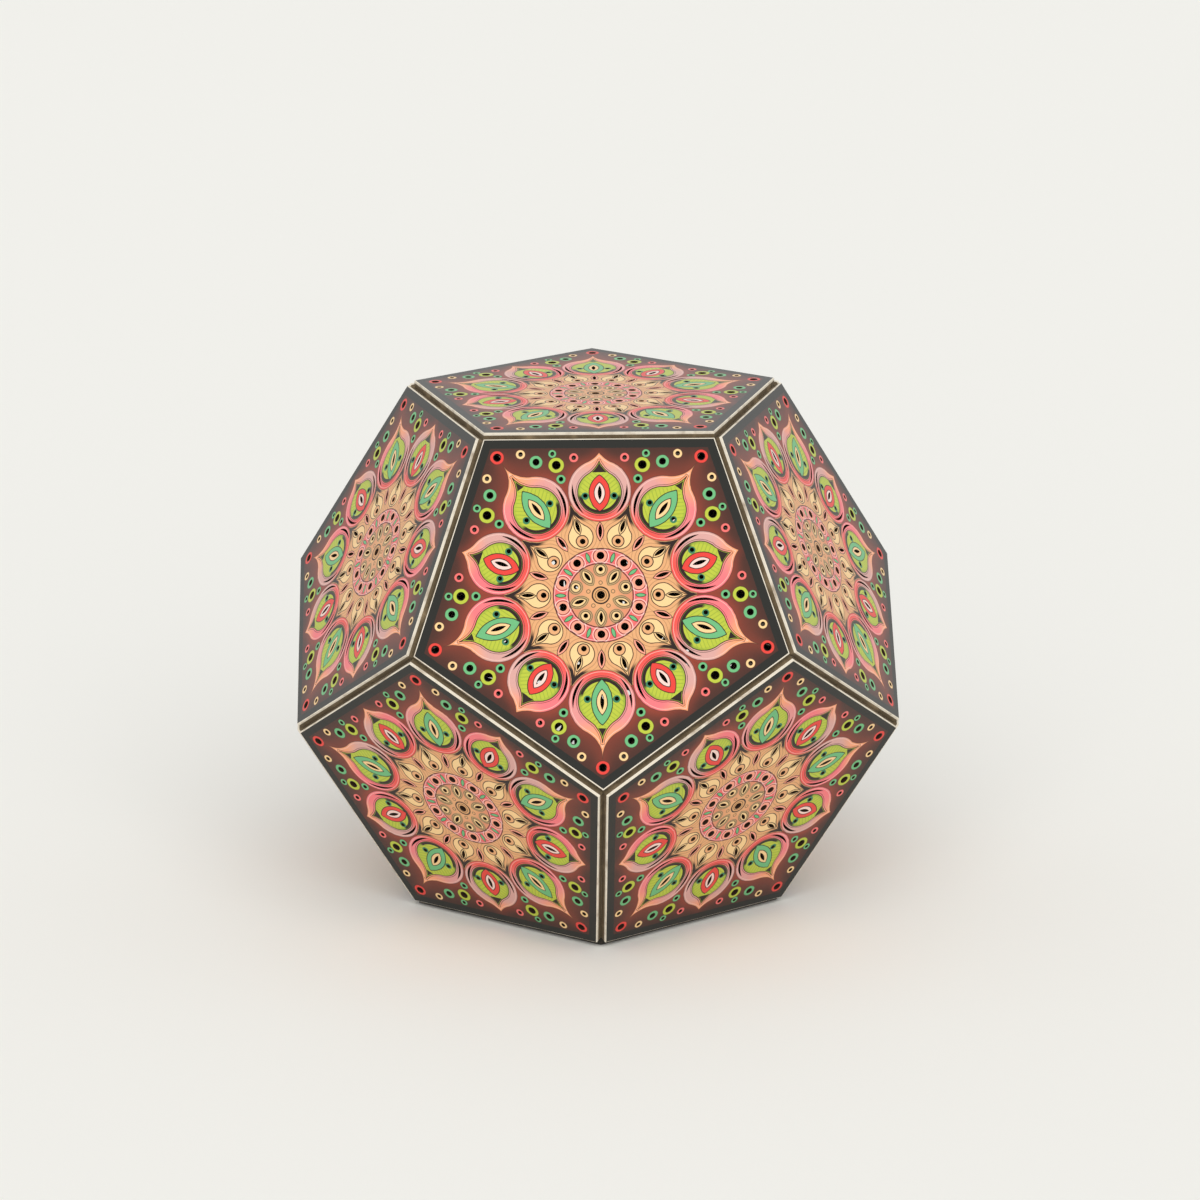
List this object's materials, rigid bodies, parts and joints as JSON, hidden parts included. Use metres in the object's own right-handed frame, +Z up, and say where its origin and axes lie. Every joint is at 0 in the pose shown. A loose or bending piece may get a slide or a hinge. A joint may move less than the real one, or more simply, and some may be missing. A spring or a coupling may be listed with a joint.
{
  "type": "paper dodecahedron lantern",
  "caption": "Closed dodecahedron lantern of laser-cut card panels on boards, printed with a cut rosette, standing on one face.",
  "frame": {"origin": "centre of the base: middle of the bounding box in X and Y, at the level of the surface it stands on", "axes": "+Z up through the middle of the top and bottom panels; -Y towards the middle of upper panel 1, the front"},
  "size_m": [0.1608, 0.1692, 0.138],
  "materials": {
    "backing_board": "raw brown board, matte",
    "face_card": "printed card, brown ground, matte",
    "joint_strip": "uncoated paper, matte",
    "print_slate": "matte print",
    "print_coral": "matte print",
    "print_rose": "matte print",
    "print_lime": "matte print",
    "print_mint": "matte print",
    "print_red": "matte print",
    "print_cream": "matte print",
    "print_tan": "matte print"
  },
  "bodies": {
    "root": {"backing_board_top": "backing_board", "backing_board_upper_1": "backing_board", "backing_board_upper_2": "backing_board", "backing_board_upper_3": "backing_board", "backing_board_upper_4": "backing_board", "backing_board_upper_5": "backing_board", "backing_board_lower_1": "backing_board", "backing_board_lower_2": "backing_board", "backing_board_lower_3": "backing_board", "backing_board_lower_4": "backing_board", "backing_board_lower_5": "backing_board", "backing_board_bottom": "backing_board", "face_card_top": "face_card", "face_card_upper_1": "face_card", "face_card_upper_2": "face_card", "face_card_upper_3": "face_card", "face_card_upper_4": "face_card", "face_card_upper_5": "face_card", "face_card_lower_1": "face_card", "face_card_lower_2": "face_card", "face_card_lower_3": "face_card", "face_card_lower_4": "face_card", "face_card_lower_5": "face_card", "face_card_bottom": "face_card", "joint_strips_top": "joint_strip", "joint_strips_upper": "joint_strip", "joint_strips_middle_left": "joint_strip", "joint_strips_middle_right": "joint_strip", "joint_strips_lower": "joint_strip", "joint_strips_bottom": "joint_strip", "print_border": "print_slate", "print_coral": "print_coral", "print_rose": "print_rose", "print_lime": "print_lime", "print_mint": "print_mint", "print_red": "print_red", "print_cream": "print_cream", "print_tan": "print_tan"}
  },
  "joints": []
}
